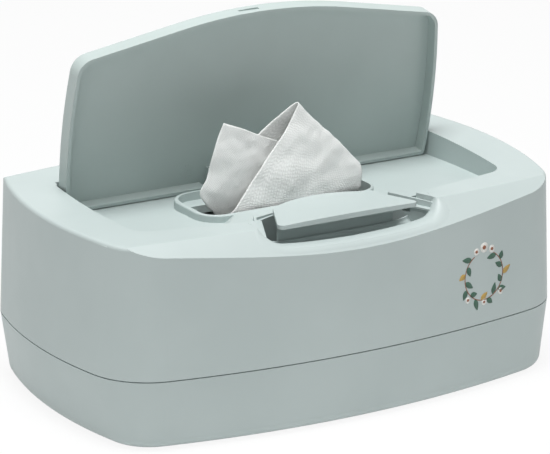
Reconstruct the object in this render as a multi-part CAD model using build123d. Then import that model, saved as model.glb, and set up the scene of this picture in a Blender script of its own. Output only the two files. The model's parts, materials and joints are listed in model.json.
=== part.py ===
"""Baby wipes box: a drafted base tray, a lift-off upper casing with a sprung lid, and a press tab.

Millimetres, +Z up. X runs along the box, -Y is the front with the press tab and its finger scoop.
The origin is on the table under the middle of the box. The lid is drawn open, as it rests.
"""
import os
from math import atan, cos, degrees, hypot, pi, radians, sin

from build123d import *

os.makedirs("parts", exist_ok=True)

# Outline of the box at each level: half length, half depth, bow of the front, bow of the sides, corner
FOOTPRINT = (119.6, 79.2, 420.0, 211.0, 22.0)
PARTING = (125.0, 80.9, 454.0, 207.0, 31.9)
CROWN = (122.5, 78.3, 480.0, 165.0, 24.0)

# Levels
FOOT_PROUD = 0.6
PARTING_Z = 32.8
CROWN_Z = 96.0
TOP_Z = 95.4
TOP_TILT = 1.55
FLOOR_Z = 84.4
FLOOR_TILT = -1.2

# Walls
WALL = 2.4
PANEL = 2.2
BOTTOM_ROUND = 5.0
TOP_ROUND = 1.6
SHADOW_GAP = 0.5
LIP_HEIGHT = 4.2
LIP_INSET = 1.3
LIP_CLEARANCE = 0.12

# Facets along the top of the front and the back
FACET_TOP = (65.8, 93.6)
FACET_FOOT = (79.0, 81.5)
FACET_BOW = 1010.0

# Lid, drawn flat: half widths, reach to the front corners and to the peak, depth of its rim
LID_REAR_HALF = 97.0
LID_HALF = 98.3
LID_FRONT_HALF = 95.2
LID_CORNER_REACH = 72.3
LID_PEAK_REACH = 90.1
LID_REAR = 2.2
LID_DEPTH = 8.2
LID_PANEL = 2.0
LID_RIM = 1.6
LID_CORNER_ROUND = 9.0
LID_PEAK_ROUND = 236.0
LID_OPEN = 80.0
LID_SEAT = (31.2, 88.0)
LID_GAP = 1.3
LATCH = (-7.8, -4.6, 10.4, 1.8)
LATCH_DEPTH = 0.8

# Hinge
HINGE = (25.3, 91.0)
PIN_RADIUS = 1.5
RUNNING = 0.05
KNUCKLE_RADIUS = 3.0
LUG_X = 20.0
EAR_X = 13.5
KNUCKLE_WIDTH = 3.6
HINGE_GAP_HALF = 24.5
SPRING_WIRE = 0.8
SPRING_COIL = 2.3
SPRING_TURNS = 7

# Collar and slot that the wipes come through
SLOT_X = -4.0
SLOT_Y = -5.5
SLOT_HALF_LENGTH = 47.0
SLOT_HALF_DEPTH = 20.5
SLOT_CORNER = 13.0
COLLAR_Z = 88.3
COLLAR_WALL = 2.0
COLLAR_ROUND = 0.8
HOLE_BACK_Y = 0.0
LEDGE = 1.8

# Apron in front of the slot
APRON_BACK_Y = -22.0
APRON_FRONT_Y = -53.0
APRON_BACK_Z = 87.9
APRON_FRONT_Z = 91.3
APRON_FOOT_BACK = 43.0
APRON_FOOT_FRONT = 80.0
APRON_TOP_BACK = 24.0
APRON_TOP_FRONT = 52.0

# Press tab, its notch and the finger scoop under it
TAB_FRONT_Y = -66.0
TAB_FRONT_HALF = 37.5
TAB_BACK_Y = -41.5
TAB_BACK_HALF = 26.0
TAB_PEAK_Y = -34.5
TAB_TOP_Z = 94.0
TAB_THICK = 2.4
TAB_CROWN = 1200.0
NOTCH_SIDE = 10.0
NOTCH_BACK = 1.6
SCOOP_HALF = 47.0
SCOOP_LIP_Z = 84.2
SCOOP_CORNER = 9.0
SCOOP_FLOOR_Z = 71.0
SCOOP_FRONT_Y = -68.5
SLIT_TOP_Z = 89.6
POST_X = 18.0
POST_Y = -47.0
POST_RADIUS = 2.0
POST_TOP_Z = 82.6
STEM_RADIUS = 3.2
STEM_FOOT_Z = 80.4
TAB_SPRING_COIL = 4.3
TAB_SPRING_TURNS = 6

# Half width that passes well clear of the box on either side
CLEAR = 150.0

# Rubber feet and the wipes
FOOT_RADIUS = 6.5
FOOT_RECESS = 0.9
FOOT_X = 84.0
FOOT_Y = 44.0
STACK = (196.0, 104.0, 60.0)
STACK_ROUND = 9.0
SOFT_GAP = 0.3


def ring(sizes, z, inset=0.0):
    """Face bounded by four shallow bows and four round corners, drawn in by inset."""
    half_length, half_depth, front_bow, side_bow, corner = (s - inset for s in sizes)
    front = Vector(0, front_bow - half_depth)
    side = Vector(half_length - side_bow, 0)
    reach_front, reach_side = front_bow - corner, side_bow - corner
    between = (side - front).length
    along = (reach_front**2 - reach_side**2 + between**2) / (2 * between)
    across = (reach_front**2 - along**2) ** 0.5
    unit = (side - front) / between
    middle = front + unit * along + Vector(-unit.Y, unit.X) * across
    if middle.X < 0:
        middle = front + unit * along - Vector(-unit.Y, unit.X) * across
    on_front = front + (middle - front) * (front_bow / reach_front)
    on_side = side + (middle - side) * (side_bow / reach_side)
    bisector = ((on_front - middle) + (on_side - middle)).normalized()
    on_corner = middle + bisector * corner
    turn = ((1, 1), (1, -1), (-1, -1), (-1, 1))

    def place(point, signs):
        return Vector(point.X * signs[0], point.Y * signs[1], z)

    right_low, right_side = place(on_front, turn[0]), place(on_side, turn[0])
    right_back, back_right = place(on_side, turn[1]), place(on_front, turn[1])
    back_left, left_back = place(on_front, turn[2]), place(on_side, turn[2])
    left_side, left_low = place(on_side, turn[3]), place(on_front, turn[3])
    edges = [
        ThreePointArc(left_low, Vector(0, -half_depth, z), right_low),
        ThreePointArc(right_low, place(on_corner, turn[0]), right_side),
        ThreePointArc(right_side, Vector(half_length, 0, z), right_back),
        ThreePointArc(right_back, place(on_corner, turn[1]), back_right),
        ThreePointArc(back_right, Vector(0, half_depth, z), back_left),
        ThreePointArc(back_left, place(on_corner, turn[2]), left_back),
        ThreePointArc(left_back, Vector(-half_length, 0, z), left_side),
        ThreePointArc(left_side, place(on_corner, turn[3]), left_low),
    ]
    return Face(Wire(edges))


def blend_sizes(low, high, share):
    """Outline sizes part of the way from one level to another."""
    return tuple(a + (b - a) * share for a, b in zip(low, high))


def above(z, tilt):
    """Large block whose underside passes through height z on the axis, rising to the back by tilt degrees."""
    return Pos(0, 0, z) * Rot(tilt, 0, 0) * Pos(0, 0, 60) * Box(400, 400, 120)


def plane_z(z, tilt, y):
    """Height at y of the plane that passes through z on the axis."""
    return z + y * sin(radians(tilt)) / cos(radians(tilt))


def rounded_plate(half_length, half_depth, corner, low, high, x=0.0, y=0.0):
    """Upright block with rounded corners between two heights."""
    face = RectangleRounded(2 * half_length, 2 * half_depth, corner)
    return Pos(x, y, low) * extrude(face, high - low)


def facet_wedge(shift):
    """Block in front of the front facet, whose foot bows the other way from its top edge."""
    def face(z):
        share = (FACET_TOP[1] - z) / (FACET_TOP[1] - FACET_FOOT[1])
        y = FACET_TOP[0] + (FACET_FOOT[0] - FACET_TOP[0]) * share - shift
        sag = CLEAR**2 / 2 / FACET_BOW * (2 * share - 1)
        arc = ThreePointArc((-CLEAR, -y - sag, z), (0, -y, z), (CLEAR, -y - sag, z))
        rim = Polyline((CLEAR, -y - sag, z), (CLEAR, -CLEAR, z), (-CLEAR, -CLEAR, z), (-CLEAR, -y - sag, z))
        return Face(Wire([arc, *rim.edges()]))
    return loft([face(FACET_FOOT[1] - 11), face(CROWN_Z + 10)], ruled=True)


def coil(radius, wire, turns, height):
    """One unbroken wire wound up +Z from the origin, with flat quarter-turn arcs."""
    steps = turns * 4
    rise = (height - wire) / steps

    def point(step):
        angle = step * pi / 2
        return (radius * cos(angle), radius * sin(angle), wire / 2 + rise * step)
    arcs = [ThreePointArc(point(i), point(i + 0.5), point(i + 1)) for i in range(steps)]
    path = Wire(arcs)
    section = Plane(origin=path @ 0, z_dir=path % 0) * Circle(wire / 2)
    print("coil: least gap between turns", round(rise * 4 - wire, 2))
    return sweep(section, path=path)


def lid_face(grow=0.0):
    """Outline of the lid drawn flat, its front to -Y, widened by grow."""
    left = ThreePointArc((-LID_REAR_HALF, LID_REAR), (-LID_HALF, -30), (-LID_FRONT_HALF, -LID_CORNER_REACH))
    right = ThreePointArc((LID_FRONT_HALF, -LID_CORNER_REACH), (LID_HALF, -30), (LID_REAR_HALF, LID_REAR))
    front = Polyline((-LID_FRONT_HALF, -LID_CORNER_REACH), (0, -LID_PEAK_REACH),
                     (LID_FRONT_HALF, -LID_CORNER_REACH))
    rear = Line((LID_REAR_HALF, LID_REAR), (-LID_REAR_HALF, LID_REAR))
    face = Sketch() + Face(Wire([left, *front.edges(), right, rear]))
    corners = sorted(face.vertices(), key=lambda v: v.Y)
    face = fillet(corners[0], LID_PEAK_ROUND)
    corners = sorted(face.vertices(), key=lambda v: -abs(v.X) + (200 if v.Y > 0 else 0))
    face = fillet(corners[:2], LID_CORNER_ROUND)
    corners = sorted(face.vertices(), key=lambda v: -v.Y)
    face = fillet(corners[:2], 2.0)
    if grow:
        face = offset(face, amount=grow)
    return face


def hinge_local():
    """Hinge axis in the lid's flat frame."""
    dy, dz = HINGE[0] - LID_SEAT[0], HINGE[1] - LID_SEAT[1]
    angle = radians(LID_OPEN)
    return dy * cos(angle) - dz * sin(angle), dy * sin(angle) + dz * cos(angle)


def hinge_knuckle(x, y, z, root):
    """Rounded ear round the hinge axis, running down to root, bored for the pin."""
    reach = z - root
    body = Cylinder(KNUCKLE_RADIUS, KNUCKLE_WIDTH, rotation=(0, 90, 0))
    body += Pos(0, 0, -reach / 2) * Box(KNUCKLE_WIDTH, 2 * KNUCKLE_RADIUS, reach)
    body -= Cylinder(PIN_RADIUS + RUNNING, 2 * KNUCKLE_WIDTH, rotation=(0, 90, 0))
    return Pos(x, y, z) * body


def make_base():
    """Lower tray with a rounded foot, a fitting lip round its rim and recesses for the feet."""
    tray = loft([ring(FOOTPRINT, FOOT_PROUD), ring(PARTING, PARTING_Z)], ruled=True)
    tray = fillet(tray.edges().group_by(Axis.Z)[0], BOTTOM_ROUND)
    lip = extrude(ring(PARTING, PARTING_Z - WALL, LIP_INSET + LIP_CLEARANCE), LIP_HEIGHT + WALL)
    share = WALL / (PARTING_Z - FOOT_PROUD)
    floor = blend_sizes(FOOTPRINT, PARTING, share)
    hollow = loft([ring(floor, FOOT_PROUD + WALL, WALL), ring(PARTING, PARTING_Z, WALL)], ruled=True)
    throat = extrude(ring(PARTING, PARTING_Z - 0.01, WALL), LIP_HEIGHT + 1)
    base = tray + lip - hollow - throat
    for x in (-FOOT_X, FOOT_X):
        for y in (-FOOT_Y, FOOT_Y):
            base -= Pos(x, y, FOOT_PROUD) * Cylinder(FOOT_RADIUS, 2 * FOOT_RECESS)
    return base


def make_foot(x, y):
    """Round rubber foot that sits in its recess and stands a little proud."""
    height = FOOT_PROUD + FOOT_RECESS
    foot = Pos(x, y, height / 2) * Cylinder(FOOT_RADIUS, height)
    return fillet(foot.edges().group_by(Axis.Z)[0], 0.4)


def casing_body(inset):
    """Drafted outside of the casing, or its inside when inset by the wall."""
    low = PARTING_Z + (SHADOW_GAP if inset == 0 else -1.0)
    body = loft([ring(PARTING, low, inset), ring(CROWN, CROWN_Z + 8, inset)], ruled=True)
    lean = inset * 1.4
    body -= above(TOP_Z - (PANEL if inset else 0.0), TOP_TILT)
    wedge = facet_wedge(lean)
    body -= wedge
    body -= mirror(wedge, about=Plane.XZ)
    if inset == 0:
        top = body.faces().sort_by(Axis.Z)[-1]
        body = fillet(top.edges(), TOP_ROUND)
    return body


def pocket(grow, low_z):
    """Sunk space that the lid drops into, from its sloping floor up."""
    hinge_y, hinge_z = hinge_local()
    angle = radians(TOP_TILT)
    seat_y = HINGE[0] - (hinge_y * cos(angle) - hinge_z * sin(angle))
    block = Pos(0, seat_y, 60) * extrude(lid_face(LID_GAP + grow), 60)
    rear = HINGE[0] + hypot(hinge_y - LID_REAR, hinge_z) + LID_GAP
    block += Pos(0, rear - 6 + grow, 90) * Box(2 * LID_REAR_HALF + 2 * grow, 12, 60)
    return block & above(low_z, FLOOR_TILT)


def rim_groove():
    """Band of the pocket that the closed lid's rim drops into."""
    within = pocket(-LID_RIM - 2 * LID_GAP, FLOOR_Z - PANEL)
    return pocket(0.0, FLOOR_Z) - within


def apron():
    """Ramp from the slot to the notch, fanning out to the front."""
    def face(z, back, front):
        points = [(-back, APRON_BACK_Y, z), (back, APRON_BACK_Y, z), (front, APRON_FRONT_Y, z),
                  (-front, APRON_FRONT_Y, z)]
        return Face(Wire(Polyline(*points, points[0]).edges()))
    block = loft([face(FLOOR_Z - 2.5, APRON_FOOT_BACK, APRON_FOOT_FRONT),
                  face(APRON_FRONT_Z + 2, APRON_TOP_BACK, APRON_TOP_FRONT)], ruled=True)
    slope = degrees(atan((APRON_BACK_Z - APRON_FRONT_Z) / (APRON_BACK_Y - APRON_FRONT_Y)))
    return block - above(plane_z(APRON_BACK_Z, slope, -APRON_BACK_Y), slope)


def notch_face(side, back):
    """Plan of the press tab, widened at its sides and back."""
    lean = (TAB_FRONT_HALF - TAB_BACK_HALF) / (TAB_BACK_Y - TAB_FRONT_Y)
    front_y = TAB_FRONT_Y - (14.0 if side else 0.0)
    front_half = TAB_FRONT_HALF + side + (TAB_FRONT_Y - front_y) * lean
    back_half, back_y = TAB_BACK_HALF + side, TAB_BACK_Y + back * 0.4
    arc = ThreePointArc((back_half, back_y), (0, TAB_PEAK_Y + back), (-back_half, back_y))
    sides = Polyline((-back_half, back_y), (-front_half, front_y), (front_half, front_y), (back_half, back_y))
    return Face(Wire([arc, *sides.edges()]))


def scoop_space(grow):
    """Hollow under the tab: a slit under the panel's edge over a closed well."""
    well = Pos(0, 0, SCOOP_FLOOR_Z - grow) * extrude(
        notch_face(NOTCH_SIDE - 4 + grow, NOTCH_BACK + grow), SLIT_TOP_Z - SCOOP_FLOOR_Z + 2 * grow)
    front = Pos(0, SCOOP_FRONT_Y - grow - CLEAR, SCOOP_FLOOR_Z) * Box(2 * CLEAR, 2 * CLEAR, CLEAR)
    return well - front


def scoop_mouth():
    """Smile-shaped opening through the facet, seen from the front."""
    smile = Sketch() + Face(Wire([
        ThreePointArc((-SCOOP_HALF + SCOOP_CORNER, 1.6), (0, 0), (SCOOP_HALF - SCOOP_CORNER, 1.6)),
        ThreePointArc((SCOOP_HALF - SCOOP_CORNER, 1.6), (SCOOP_HALF - 2.0, 4.6), (SCOOP_HALF, 11.0)),
        Line((SCOOP_HALF, 11.0), (SCOOP_HALF, 30.0)),
        Line((SCOOP_HALF, 30.0), (-SCOOP_HALF, 30.0)),
        Line((-SCOOP_HALF, 30.0), (-SCOOP_HALF, 11.0)),
        ThreePointArc((-SCOOP_HALF, 11.0), (-SCOOP_HALF + 2.0, 4.6), (-SCOOP_HALF + SCOOP_CORNER, 1.6)),
    ]))
    return Pos(0, SCOOP_FRONT_Y + 4, SCOOP_LIP_Z) * Rot(90, 0, 0) * extrude(smile, 40)


def make_casing():
    """Upper casing: walls, facets, lid pocket, apron, slot collar, notch, scoop and hinge ears."""
    hollow = casing_body(WALL)
    hollow -= pocket(PANEL, FLOOR_Z - PANEL)
    hollow -= scoop_space(PANEL)
    casing = casing_body(0.0) - (pocket(0.0, FLOOR_Z) - (apron() - rim_groove()))
    collar = rounded_plate(SLOT_HALF_LENGTH, SLOT_HALF_DEPTH, SLOT_CORNER, FLOOR_Z - PANEL, COLLAR_Z,
                           SLOT_X, SLOT_Y)
    casing += fillet(collar.edges().group_by(Axis.Z)[-1], COLLAR_ROUND)
    casing -= hollow
    inner_half = SLOT_HALF_DEPTH - COLLAR_WALL
    casing -= rounded_plate(SLOT_HALF_LENGTH - COLLAR_WALL, inner_half, SLOT_CORNER - COLLAR_WALL,
                            FLOOR_Z, COLLAR_Z + 9, SLOT_X, SLOT_Y)
    hole_front = SLOT_Y - inner_half
    hole = rounded_plate(SLOT_HALF_LENGTH - COLLAR_WALL, (HOLE_BACK_Y - hole_front) / 2, 9.0,
                         FLOOR_Z - 9, COLLAR_Z, SLOT_X, (HOLE_BACK_Y + hole_front) / 2)
    casing -= hole
    ledge_half = SLOT_HALF_LENGTH - COLLAR_WALL + 0.5
    casing += Pos(SLOT_X, HOLE_BACK_Y + LEDGE / 2, FLOOR_Z + 0.6) * Box(2 * ledge_half, LEDGE, LEDGE)
    casing -= Pos(0, 0, SLIT_TOP_Z - 1) * extrude(notch_face(NOTCH_SIDE, NOTCH_BACK), 30)
    casing -= scoop_space(0.0)
    casing -= scoop_mouth()
    casing -= extrude(ring(PARTING, PARTING_Z, LIP_INSET), LIP_HEIGHT + 0.2)
    floor_z = plane_z(FLOOR_Z, FLOOR_TILT, HINGE[0])
    for x in (-EAR_X, EAR_X):
        casing += hinge_knuckle(x, HINGE[0], HINGE[1], floor_z - 1)
    for x in (-POST_X, POST_X):
        casing += Pos(x, POST_Y, (SCOOP_FLOOR_Z + POST_TOP_Z) / 2 - 0.5) * Cylinder(
            POST_RADIUS, POST_TOP_Z - SCOOP_FLOOR_Z + 1)
    return casing


def make_lid():
    """Shallow tray of a lid with its hinge lugs, turned open about its seat."""
    lid = extrude(lid_face(), -LID_DEPTH)
    lid = fillet(lid.faces().sort_by(Axis.Z)[-1].edges(), 1.0)
    lid -= Pos(0, 0, -LID_PANEL) * extrude(lid_face(-LID_RIM), -LID_DEPTH)
    lid -= Pos(0, LID_REAR, -LID_PANEL - 5) * Box(2 * HINGE_GAP_HALF, 3 * LID_RIM, 10)
    front_y = lid.bounding_box().min.Y
    lid -= Pos(LATCH[0], front_y, LATCH[1]) * Box(LATCH[2], 2 * LATCH_DEPTH, LATCH[3])
    hinge_y, hinge_z = hinge_local()
    for x in (-LUG_X, LUG_X):
        lug = Cylinder(KNUCKLE_RADIUS + 0.2, KNUCKLE_WIDTH, rotation=(0, 90, 0))
        rise = -LID_PANEL - hinge_z + 0.5
        lug += Pos(0, 0, rise / 2) * Box(KNUCKLE_WIDTH, 2 * KNUCKLE_RADIUS + 0.4, rise)
        lug -= Cylinder(PIN_RADIUS + RUNNING, 2 * KNUCKLE_WIDTH, rotation=(0, 90, 0))
        lid += Pos(x, hinge_y, hinge_z) * lug
    return Pos(0, *LID_SEAT) * Rot(-LID_OPEN, 0, 0) * lid


def make_pin():
    """Steel hinge pin through the lid's lugs and the casing's ears."""
    length = 2 * LUG_X + KNUCKLE_WIDTH
    pin = Cylinder(PIN_RADIUS, length, rotation=(0, 90, 0))
    pin = chamfer(pin.edges().filter_by(GeomType.CIRCLE), 0.3)
    return Pos(0, *HINGE) * pin


def make_lid_spring():
    """Torsion spring round the pin between the ears, one leg on the floor and one on the lid."""
    width = 2 * (EAR_X - KNUCKLE_WIDTH / 2) - 1.0
    return Pos(-width / 2, *HINGE) * Rot(0, 90, 0) * coil(SPRING_COIL, SPRING_WIRE, SPRING_TURNS, width)


def make_tab():
    """Press tab: a plate with a slight crown over two hollow stems that guide it."""
    plate = Pos(0, 0, TAB_TOP_Z - TAB_THICK) * extrude(notch_face(0.0, 0.0), 2 * TAB_THICK)
    crown = Pos(0, TAB_BACK_Y, TAB_TOP_Z - TAB_CROWN) * Cylinder(TAB_CROWN, 120, rotation=(90, 0, 0))
    plate &= crown
    plate = fillet(plate.edges().filter_by(Axis.Z), 2.5)
    stems = Part()
    for x in (-POST_X, POST_X):
        length = TAB_TOP_Z - TAB_THICK - STEM_FOOT_Z
        stem = Cylinder(STEM_RADIUS, length + 0.4) - Cylinder(POST_RADIUS + 2 * RUNNING, length + 1)
        stems += Pos(x, POST_Y, STEM_FOOT_Z + (length + 0.4) / 2) * stem
    return plate + stems


def make_tab_spring(x):
    """Compression spring round a stem, from the well's floor to the underside of the tab."""
    height = TAB_TOP_Z - TAB_THICK - SCOOP_FLOOR_Z
    return Pos(x, POST_Y, SCOOP_FLOOR_Z) * coil(TAB_SPRING_COIL, SPRING_WIRE, TAB_SPRING_TURNS, height)


def make_stack():
    """Refill of folded wipes lying in the tray."""
    block = rounded_plate(STACK[0] / 2, STACK[1] / 2, STACK_ROUND, FOOT_PROUD + WALL + SOFT_GAP,
                          FOOT_PROUD + WALL + SOFT_GAP + STACK[2])
    return fillet(block.faces().sort_by(Axis.Z)[-1].edges(), 5.0)


def make_top_wipe():
    """Pulled-up wipe: a tail through the slot that opens into two pointed folds."""
    stack_top = FOOT_PROUD + 2 * SOFT_GAP + WALL + STACK[2]

    def section(z, x, y, half_length, half_depth):
        return Pos(x, y, z) * Ellipse(half_length, half_depth)
    hole_y = (HOLE_BACK_Y + SLOT_Y - SLOT_HALF_DEPTH + COLLAR_WALL) / 2
    tail = loft([section(stack_top, -2, hole_y, 30, 5), section(86.0, -4, hole_y, 36, 8.5),
                 section(89.5, -4, hole_y, 37, 9.0)])
    left = loft([section(89.0, -4, hole_y, 37, 9.0), section(108.0, -17, hole_y + 1, 26, 8),
                 section(132.0, -33, hole_y + 5, 2.5, 1.5)])
    right = loft([section(89.0, -3, hole_y, 36, 9.0), section(106.0, 10, hole_y, 30, 9),
                  section(140.0, 4, hole_y + 4, 2.5, 1.5)])
    return tail + left + right


def make_pieces():
    """Every piece by its node name."""
    pieces = {
        "base_tray": make_base(),
        "upper_casing": make_casing(),
        "flip_lid": make_lid(),
        "hinge_pin": make_pin(),
        "lid_spring": make_lid_spring(),
        "press_tab": make_tab(),
        "wipes_stack": make_stack(),
        "top_wipe": make_top_wipe(),
    }
    for side, x in (("left", -1), ("right", 1)):
        pieces[f"tab_spring_{side}"] = make_tab_spring(x * POST_X)
        for end, y in (("front", -1), ("back", 1)):
            pieces[f"foot_{end}_{side}"] = make_foot(x * FOOT_X, y * FOOT_Y)
    return pieces


for name, piece in make_pieces().items():
    export_step(piece, f"parts/{name}.step")
    print(name, round(piece.volume), len(piece.solids()))
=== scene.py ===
"""Looks of the baby wipes box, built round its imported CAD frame.

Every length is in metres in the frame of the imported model: X along the box, -Y to the front with the
press tab, Z up from the table. Lists of points in millimetres say so. The moulded pieces keep their CAD
meshes and get their finish here. The cloth, the folded stack, the printed wreath, the marks inside the
lid and the trim of the finger scoop are modelled here.
"""

from __future__ import annotations

import json
import logging
import math
from collections.abc import Callable
from dataclasses import dataclass
from enum import Enum

import bmesh
import bpy
from mathutils import Matrix, Vector, noise
from mathutils.bvhtree import BVHTree

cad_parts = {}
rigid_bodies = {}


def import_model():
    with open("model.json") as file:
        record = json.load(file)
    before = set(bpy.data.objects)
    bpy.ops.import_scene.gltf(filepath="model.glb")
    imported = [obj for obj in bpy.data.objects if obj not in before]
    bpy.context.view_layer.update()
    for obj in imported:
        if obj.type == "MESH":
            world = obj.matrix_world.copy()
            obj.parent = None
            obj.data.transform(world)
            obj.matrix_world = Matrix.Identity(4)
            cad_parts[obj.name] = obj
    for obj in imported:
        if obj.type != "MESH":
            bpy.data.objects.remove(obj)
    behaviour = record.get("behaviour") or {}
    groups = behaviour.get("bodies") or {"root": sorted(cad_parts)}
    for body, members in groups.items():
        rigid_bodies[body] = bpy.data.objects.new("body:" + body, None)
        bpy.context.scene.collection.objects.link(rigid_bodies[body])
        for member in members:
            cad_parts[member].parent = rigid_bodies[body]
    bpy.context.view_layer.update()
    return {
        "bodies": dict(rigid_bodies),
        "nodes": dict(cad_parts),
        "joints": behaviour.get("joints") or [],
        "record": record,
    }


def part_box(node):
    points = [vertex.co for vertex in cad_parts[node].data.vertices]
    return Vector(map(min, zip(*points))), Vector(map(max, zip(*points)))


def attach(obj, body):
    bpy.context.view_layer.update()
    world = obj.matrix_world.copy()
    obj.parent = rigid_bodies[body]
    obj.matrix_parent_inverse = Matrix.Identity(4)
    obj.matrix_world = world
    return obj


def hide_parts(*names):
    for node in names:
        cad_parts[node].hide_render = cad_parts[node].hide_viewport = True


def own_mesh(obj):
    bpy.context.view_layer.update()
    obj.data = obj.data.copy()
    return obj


LOG = logging.getLogger("wipes_box")
MM = 0.001
Point = tuple[float, float, float]
Pairs = tuple[tuple[float, float], ...]
Colour = tuple[float, float, float]


class Body(Enum):
    """Bodies of the frame that pieces ride on."""

    TRAY = "tray"
    CASING = "casing"
    LID = "lid"
    TAB = "tab"


class Slot(Enum):
    """Names of two material slots of the record; no piece made here takes them."""

    PLASTIC = "sage_plastic"
    CLOTH = "wipe_cloth"


class Ink(Enum):
    """Colours of the printed wreath, as linear colours."""

    CREAM = (0.80, 0.80, 0.76)
    RUST = (0.30, 0.115, 0.060)
    GREEN = (0.050, 0.125, 0.085)
    MUSTARD = (0.50, 0.33, 0.09)


# Materials


def new_group(name: str, inputs: list[tuple[str, str, object]], outputs: list[tuple[str, str]],
              ) -> tuple[bpy.types.NodeTree, bpy.types.Node, bpy.types.Node]:
    """Start a shader node group with named sockets.

    Args:
        name: Name of the group.
        inputs: Name, socket type and default of each input.
        outputs: Name and socket type of each output.

    Returns:
        The group, its input node and its output node.
    """
    group = bpy.data.node_groups.new(name, "ShaderNodeTree")
    for label, kind, default in inputs:
        socket = group.interface.new_socket(label, in_out="INPUT", socket_type=kind)
        if default is not None:
            socket.default_value = default
    for label, kind in outputs:
        group.interface.new_socket(label, in_out="OUTPUT", socket_type=kind)
    return group, group.nodes.new("NodeGroupInput"), group.nodes.new("NodeGroupOutput")


def noise_node(tree: bpy.types.NodeTree, vector: bpy.types.NodeSocket, detail: float,
               scale: float = 1.0) -> bpy.types.Node:
    """Add a noise texture read at vector.

    Args:
        tree: Tree that gets the node.
        vector: Socket that gives the coordinates.
        detail: Number of finer octaves.
        scale: Waves per metre, unless its socket is linked later.

    Returns:
        The noise node.
    """
    node = tree.nodes.new("ShaderNodeTexNoise")
    node.inputs["Detail"].default_value = detail
    node.inputs["Scale"].default_value = scale
    tree.links.new(vector, node.inputs["Vector"])
    return node


def ranged(tree: bpy.types.NodeTree, value: bpy.types.NodeSocket, low: float, high: float,
           to_low: float, to_high: float) -> bpy.types.NodeSocket:
    """Map a value from one range onto another, clamped.

    Args:
        tree: Tree that gets the node.
        value: Socket that gives the value.
        low: Low end of the source range.
        high: High end of the source range.
        to_low: What the low end becomes.
        to_high: What the high end becomes.

    Returns:
        The socket with the mapped value.
    """
    node = tree.nodes.new("ShaderNodeMapRange")
    for label, number in (("From Min", low), ("From Max", high), ("To Min", to_low), ("To Max", to_high)):
        node.inputs[label].default_value = number
    tree.links.new(value, node.inputs["Value"])
    return node.outputs["Result"]


def tinted(tree: bpy.types.NodeTree, share: bpy.types.NodeSocket,
           start: bpy.types.Node) -> bpy.types.NodeSocket:
    """Mix the Base and Deep colours of a group's inputs.

    Args:
        tree: Tree that gets the node.
        share: Socket that gives the share of Deep.
        start: Input node of the group.

    Returns:
        The socket with the mixed colour.
    """
    mix = tree.nodes.new("ShaderNodeMix")
    mix.data_type = "RGBA"
    tree.links.new(share, mix.inputs["Factor"])
    tree.links.new(start.outputs["Base"], mix.inputs["A"])
    tree.links.new(start.outputs["Deep"], mix.inputs["B"])
    return mix.outputs["Result"]


def moulded_group() -> bpy.types.NodeTree:
    """Node group of a moulded surface: slow shifts of tone, uneven polish and a fine spark-eroded grain.

    Returns:
        The group, with Color, Roughness and Height outputs.
    """
    group, start, end = new_group(
        "moulded surface",
        [("Vector", "NodeSocketVector", None), ("Base", "NodeSocketColor", (0.5, 0.5, 0.5, 1.0)),
         ("Deep", "NodeSocketColor", (0.4, 0.4, 0.4, 1.0)), ("Grain Scale", "NodeSocketFloat", 2400.0),
         ("Polish Low", "NodeSocketFloat", 0.4), ("Polish High", "NodeSocketFloat", 0.5)],
        [("Color", "NodeSocketColor"), ("Roughness", "NodeSocketFloat"), ("Height", "NodeSocketFloat")])
    tone = noise_node(group, start.outputs["Vector"], 3.0, 22.0)
    share = ranged(group, tone.outputs["Fac"], 0.38, 0.66, 0.0, 1.0)
    group.links.new(tinted(group, share, start), end.inputs["Color"])
    polish = noise_node(group, start.outputs["Vector"], 4.0, 90.0)
    spread = group.nodes.new("ShaderNodeMapRange")
    group.links.new(polish.outputs["Fac"], spread.inputs["Value"])
    group.links.new(start.outputs["Polish Low"], spread.inputs["To Min"])
    group.links.new(start.outputs["Polish High"], spread.inputs["To Max"])
    group.links.new(spread.outputs["Result"], end.inputs["Roughness"])
    grain = noise_node(group, start.outputs["Vector"], 2.0)
    group.links.new(start.outputs["Grain Scale"], grain.inputs["Scale"])
    group.links.new(grain.outputs["Fac"], end.inputs["Height"])
    return group


def embossed_group() -> bpy.types.NodeTree:
    """Node group of embossed non-woven cloth: crossed wavy rows of dimples over loose fibres, with painted
    shade in the dimples.

    Returns:
        The group, with Color and Height outputs.
    """
    group, start, end = new_group(
        "embossed cloth",
        [("Vector", "NodeSocketVector", None), ("Base", "NodeSocketColor", (0.9, 0.9, 0.9, 1.0)),
         ("Deep", "NodeSocketColor", (0.8, 0.8, 0.8, 1.0)), ("Row Scale", "NodeSocketFloat", 190.0)],
        [("Color", "NodeSocketColor"), ("Height", "NodeSocketFloat")])
    heights = []
    for direction, distortion in (("DIAGONAL", 5.0), ("Y", 9.0)):
        rows = group.nodes.new("ShaderNodeTexWave")
        rows.bands_direction = direction
        rows.inputs["Distortion"].default_value = distortion
        rows.inputs["Detail"].default_value = 1.5
        rows.inputs["Detail Scale"].default_value = 0.6
        group.links.new(start.outputs["Vector"], rows.inputs["Vector"])
        group.links.new(start.outputs["Row Scale"], rows.inputs["Scale"])
        heights.append(rows.outputs["Fac"])
    fibre = noise_node(group, start.outputs["Vector"], 4.0, 900.0)
    crossed = group.nodes.new("ShaderNodeMath")
    crossed.operation = "MULTIPLY"
    group.links.new(heights[0], crossed.inputs[0])
    group.links.new(heights[1], crossed.inputs[1])
    total = group.nodes.new("ShaderNodeMath")
    total.operation = "MULTIPLY_ADD"
    total.inputs[1].default_value = 0.35
    group.links.new(fibre.outputs["Fac"], total.inputs[0])
    group.links.new(crossed.outputs["Value"], total.inputs[2])
    group.links.new(total.outputs["Value"], end.inputs["Height"])
    # Painted shade: the colour goes from Base to Deep as the relief gets lower, so the dimples and the
    # hollows between the fibres come out darker.
    share = ranged(group, total.outputs["Value"], 0.1, 0.9, 1.0, 0.0)
    group.links.new(tinted(group, share, start), end.inputs["Color"])
    return group


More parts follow.
